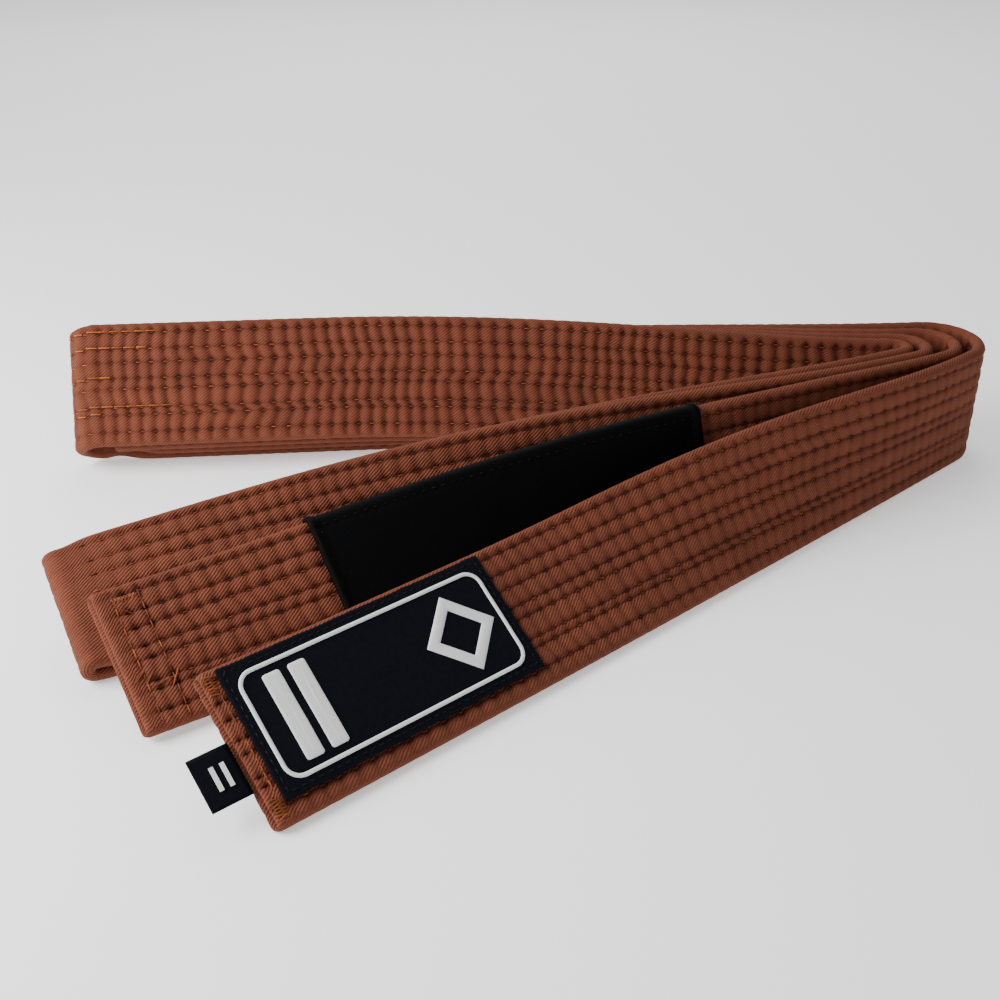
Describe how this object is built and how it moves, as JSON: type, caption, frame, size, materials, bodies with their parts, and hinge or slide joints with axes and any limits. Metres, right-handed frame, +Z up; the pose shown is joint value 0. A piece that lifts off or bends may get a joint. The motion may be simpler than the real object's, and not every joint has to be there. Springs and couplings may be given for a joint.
{
  "type": "martial arts belt",
  "caption": "Folded quilted brown cotton martial arts belt bent into a V, with a black rank bar, a woven label patch and a small end tab.",
  "frame": {"origin": "centre of the footprint on the table, under the folded belt", "axes": "+Z up; +X along the longer side of the footprint, towards the upright bend; -Y towards the label end; the open end of the V is at -X"},
  "size_m": [0.3386, 0.2314, 0.0517],
  "materials": {
    "brown_twill": "matte brown quilted cotton twill",
    "core_canvas": "undyed cotton canvas",
    "black_cotton": "matte black cotton",
    "label_weave": "black woven damask",
    "white_thread": "white woven thread",
    "orange_thread": "orange-brown sewing thread"
  },
  "bodies": {
    "folded_belt": {"back_inner_core_ply_1": "core_canvas", "back_inner_core_ply_2": "core_canvas", "back_inner_cover": "brown_twill", "back_outer_core_ply_1": "core_canvas", "back_outer_core_ply_2": "core_canvas", "back_outer_cover": "brown_twill", "label_arm_core_ply_1": "core_canvas", "label_arm_core_ply_2": "core_canvas", "label_arm_cover": "brown_twill", "middle_fold_core_ply_1": "core_canvas", "middle_fold_core_ply_2": "core_canvas", "middle_fold_cover": "brown_twill", "plain_end_stitch_1": "orange_thread", "plain_end_stitch_2": "orange_thread", "plain_end_turn_in": "brown_twill", "rank_arm_core_ply_1": "core_canvas", "rank_arm_core_ply_2": "core_canvas", "rank_arm_cover": "brown_twill", "rank_bar": "black_cotton"},
    "label_end": {"label_bar_1": "white_thread", "label_bar_2": "white_thread", "label_border": "white_thread", "label_emblem": "white_thread", "label_end_bartack_low": "orange_thread", "label_end_bartack_top": "orange_thread", "label_end_turn_in": "brown_twill", "label_patch": "label_weave", "label_tail_core_ply_1": "core_canvas", "label_tail_core_ply_2": "core_canvas", "label_tail_cover": "brown_twill"},
    "tab": {"size_tab": "black_cotton", "size_tab_mark_1": "white_thread", "size_tab_mark_2": "white_thread"}
  },
  "joints": [
    {"name": "label_end_lift", "type": "hinge", "parent": "folded_belt", "child": "label_end", "pos_m": [0.00668, -0.03224, 0.01642], "axis": [-0.5233, 0.6034, 0.6017], "range_deg": [0, 35]},
    {"name": "size_tab_flap", "type": "hinge", "parent": "label_end", "child": "tab", "pos_m": [-0.0743, -0.10361, 0.01214], "axis": [-0.5233, 0.617, 0.5878], "range_deg": [-25, 60]}
  ]
}
